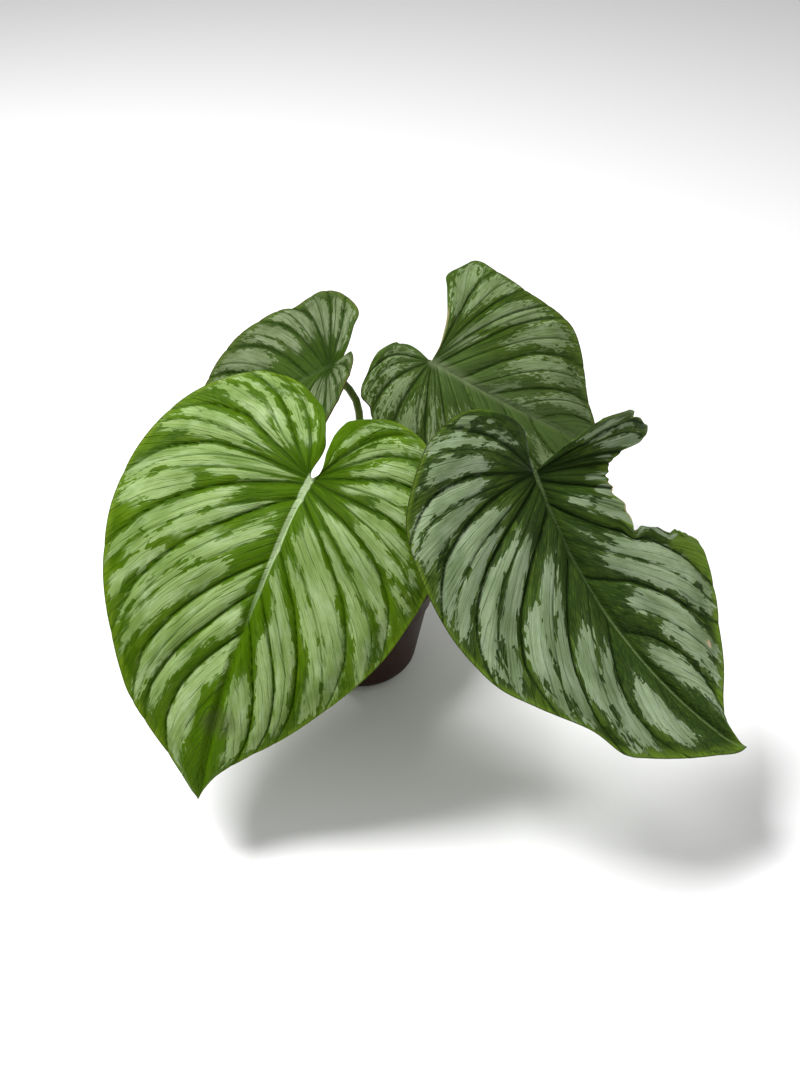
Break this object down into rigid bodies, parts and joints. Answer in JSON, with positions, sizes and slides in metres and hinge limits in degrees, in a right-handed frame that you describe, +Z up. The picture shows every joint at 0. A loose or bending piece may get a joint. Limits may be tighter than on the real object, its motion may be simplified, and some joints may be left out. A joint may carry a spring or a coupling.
{
  "type": "potted philodendron mamei",
  "caption": "Potted aroid house plant: heart-shaped, quilted, silver-marbled leaves on long stalks that rise from a short stem in a tapered round nursery pot.",
  "frame": {"origin": "middle of the pot's flat underside, on the surface it stands on", "axes": "+Z up, -Y towards the viewer of the picture, +X to the viewer's right"},
  "size_m": [0.2511, 0.2152, 0.1839],
  "materials": {
    "pot": "dark brown moulded plastic, slightly satin",
    "soil": "rough dark bark mix with pale grains",
    "stem": "olive brown, ringed by old leaf scars",
    "petiole": "smooth olive green, faintly streaked",
    "blade_a": "young leaf, bright yellow green with pale silver bands between sunk veins",
    "blade_b": "dark green with broad grey silver patches and a lighter margin",
    "blade_c": "mid green with fine silver streaks between the veins",
    "blade_d": "silver grey patches with dark green vein lines and margin"
  },
  "bodies": {
    "root": {"pot": "pot", "soil": "soil", "stem": "stem", "petiole_a": "petiole", "petiole_b": "petiole", "petiole_c": "petiole", "petiole_d": "petiole", "blade_a": "blade_a", "blade_b": "blade_b", "blade_c": "blade_c", "blade_d": "blade_d"}
  },
  "joints": []
}
